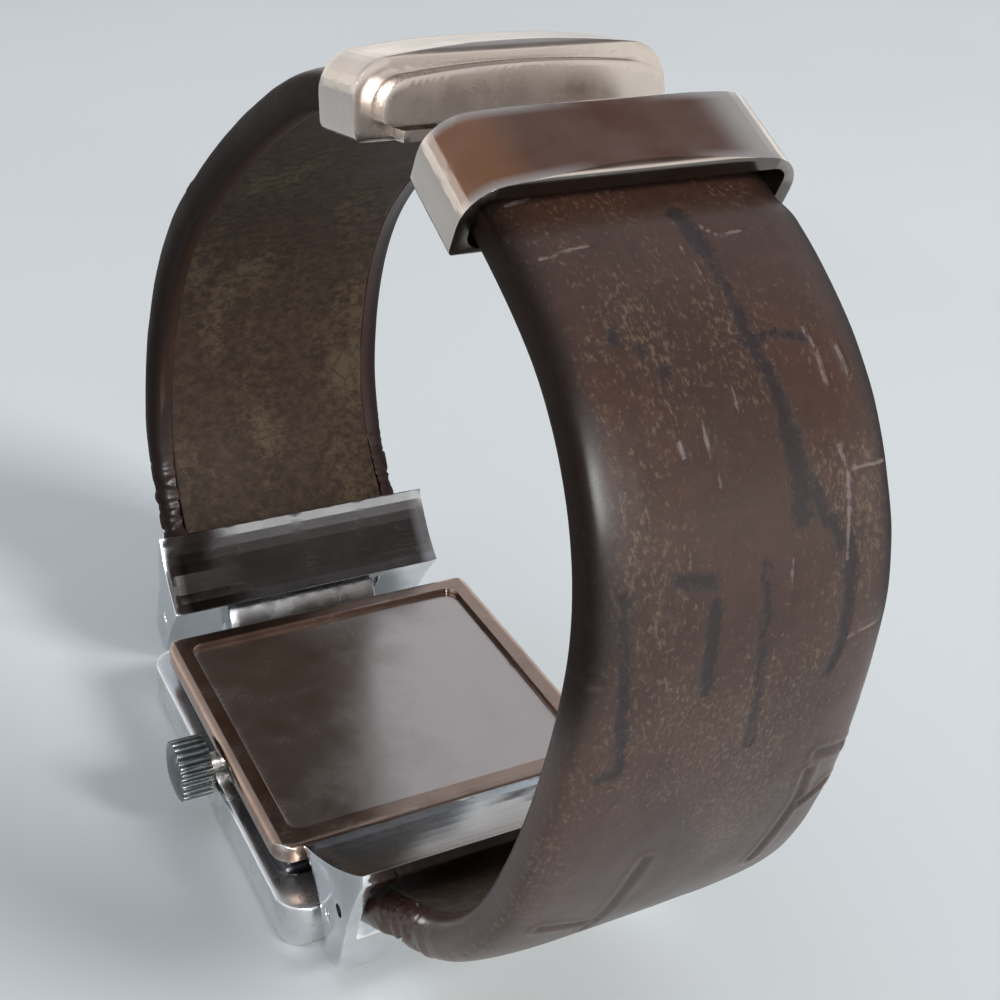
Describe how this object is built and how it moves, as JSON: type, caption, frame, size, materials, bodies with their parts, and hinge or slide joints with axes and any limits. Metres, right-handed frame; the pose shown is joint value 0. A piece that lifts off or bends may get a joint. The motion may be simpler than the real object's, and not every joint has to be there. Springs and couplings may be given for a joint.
{
  "type": "square wristwatch on a padded leather strap with a magnetic plug clasp",
  "caption": "Square steel wristwatch lying dial down, its brown padded leather strap halves standing in an open loop, with hinged steel end links and magnetic clasp caps.",
  "frame": {"origin": "middle of the bezel's front face, which is the face the watch rests on", "axes": "+X across the wrist, away from the crown; +Y towards 12 o'clock; +Z from the dial to the case back"},
  "size_m": [0.035, 0.0795, 0.0682],
  "materials": {
    "satin_silver": "satin steel with worn polished edges",
    "blackened_steel": "dark polished waist",
    "back_steel": "fine brushed plate with a warm cast",
    "crown_steel": "fluted steel, dull in the grooves",
    "polished_steel": "polished",
    "hand_steel": "dark lacquer",
    "crystal_glass": "clear mineral glass",
    "seal_rubber": "matt",
    "dial_enamel": "satin cream lacquer",
    "ring_plastic": "matt moulded",
    "movement_brass": "satin",
    "board_green": "lacquered board",
    "coil_copper": "enamelled wire",
    "magnet_nickel": "nickel plate",
    "brown_leather": "smooth printed leather with scratches and dark cracks",
    "worn_lining": "worn suede lining with pale patches"
  },
  "bodies": {
    "case": {"bezel": "satin_silver", "crystal": "crystal_glass", "crystal_gasket": "seal_rubber", "dial": "dial_enamel", "hour_markers": "polished_steel", "case_middle": "blackened_steel", "back_frame": "satin_silver", "back_gasket": "seal_rubber", "case_back": "back_steel", "movement_ring": "ring_plastic", "main_plate": "movement_brass", "train_bridge": "movement_brass", "circuit_board": "board_green", "coil": "coil_copper", "stator": "polished_steel", "battery": "polished_steel", "battery_clamp": "movement_brass", "movement_screws": "polished_steel", "crown_tube": "polished_steel"},
    "stem": {"stem": "polished_steel"},
    "crown": {"crown": "crown_steel", "crown_gasket": "seal_rubber"},
    "hour": {"hour_hand": "hand_steel", "hour_wheel": "movement_brass"},
    "minute": {"minute_hand": "hand_steel", "cannon_pinion": "movement_brass"},
    "minute_wheel": {"minute_wheel": "movement_brass"},
    "strap_12": {"link_12": "satin_silver", "link_pin_12": "polished_steel", "strap_leather_12": "brown_leather", "strap_lining_12": "worn_lining", "clasp_cap_12": "satin_silver", "clasp_magnet_12": "magnet_nickel"},
    "strap_6": {"link_6": "satin_silver", "link_pin_6": "polished_steel", "strap_leather_6": "brown_leather", "strap_lining_6": "worn_lining", "clasp_cap_6": "satin_silver", "clasp_magnet_6": "magnet_nickel"}
  },
  "joints": [
    {"name": "stem_pull", "type": "slide", "parent": "case", "child": "stem", "axis": [-1, 0, 0], "range_m": [0, 0.001]},
    {"name": "crown_turn", "type": "hinge", "parent": "stem", "child": "crown", "pos_m": [-0.0187, 0, 0.0049], "axis": [1, 0, 0], "continuous": true},
    {"name": "minute_turn", "type": "hinge", "parent": "case", "child": "minute", "pos_m": [0, 0, 0.0035], "axis": [0, 0, 1], "continuous": true},
    {"name": "hour_turn", "type": "hinge", "parent": "case", "child": "hour", "pos_m": [0, 0, 0.0035], "axis": [0, 0, 1], "continuous": true},
    {"name": "minute_wheel_turn", "type": "hinge", "parent": "case", "child": "minute_wheel", "pos_m": [0.00257, -0.00306, 0.0035], "axis": [0, 0, 1], "continuous": true},
    {"name": "strap_12_hinge", "type": "hinge", "parent": "case", "child": "strap_12", "pos_m": [0, 0.0211, 0.0058], "axis": [1, 0, 0], "range_deg": [-39, 1.5]},
    {"name": "strap_6_hinge", "type": "hinge", "parent": "case", "child": "strap_6", "pos_m": [0, -0.0211, 0.0058], "axis": [-1, 0, 0], "range_deg": [-19, 1.5]}
  ],
  "couplings": [
    {"joint": "hour_turn", "follows": "minute_turn", "ratio": 0.083333},
    {"joint": "minute_wheel_turn", "follows": "minute_turn", "ratio": -0.33333}
  ]
}
